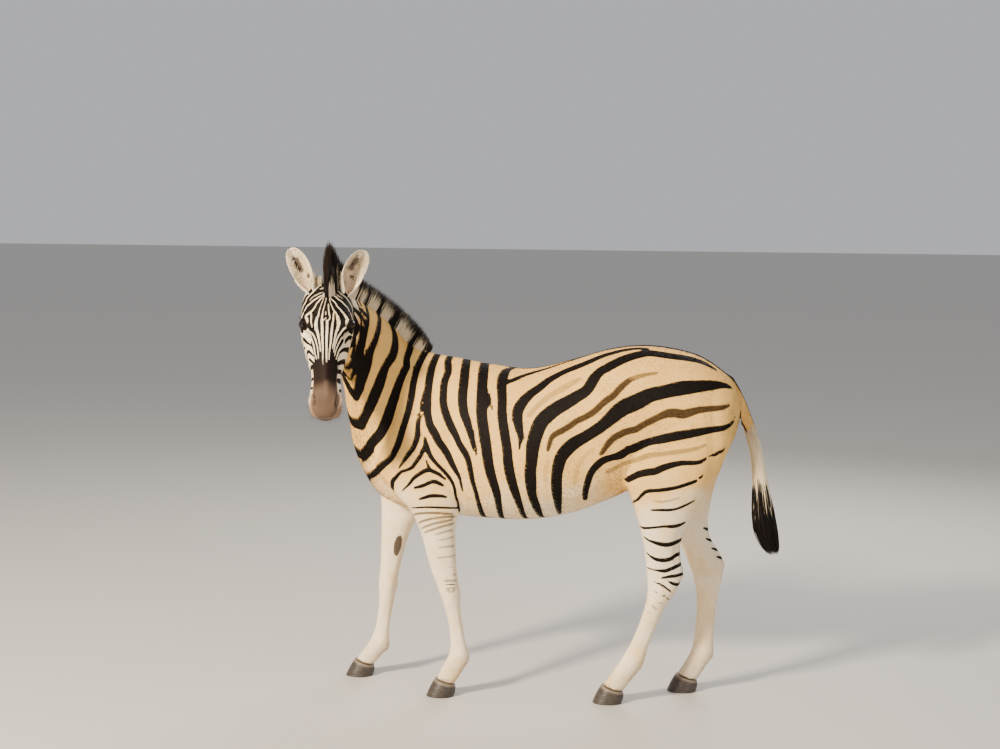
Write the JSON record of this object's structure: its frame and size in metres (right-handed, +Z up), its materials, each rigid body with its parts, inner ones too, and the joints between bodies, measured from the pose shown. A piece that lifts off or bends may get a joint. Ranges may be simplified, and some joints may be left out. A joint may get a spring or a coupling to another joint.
{
  "type": "standing zebra model",
  "caption": "Life-size still model of a young plains zebra standing with its head turned to its left, ears pricked, with an upright mane and a tufted tail.",
  "frame": {"origin": "on the floor, under the middle of the whole object's box", "axes": "+Z up, the zebra faces -X, its left side faces -Y, towards the viewer"},
  "size_m": [1.7549, 0.7592, 1.68],
  "materials": {
    "coat": "short flat hair, cream to golden with near-black stripes",
    "mane": "upright coarse hair banded cream and near-black, dark brown tips",
    "tail_hair": "long coarse black hair",
    "ear": "cream hair with a dark back and soft dark hair inside",
    "hoof": "dry dark horn with fine rings",
    "eye": "wet dark brown eye"
  },
  "bodies": {
    "root": {"ear_left": "ear", "ear_right": "ear", "eye_left": "eye", "eye_right": "eye", "foreleg_left": "coat", "foreleg_right": "coat", "head": "coat", "hindleg_left": "coat", "hindleg_right": "coat", "hoof_fore_left": "hoof", "hoof_fore_right": "hoof", "hoof_hind_left": "hoof", "hoof_hind_right": "hoof", "mane": "mane", "neck": "coat", "tail": "coat", "tail_brush": "tail_hair", "trunk": "coat"}
  },
  "joints": []
}
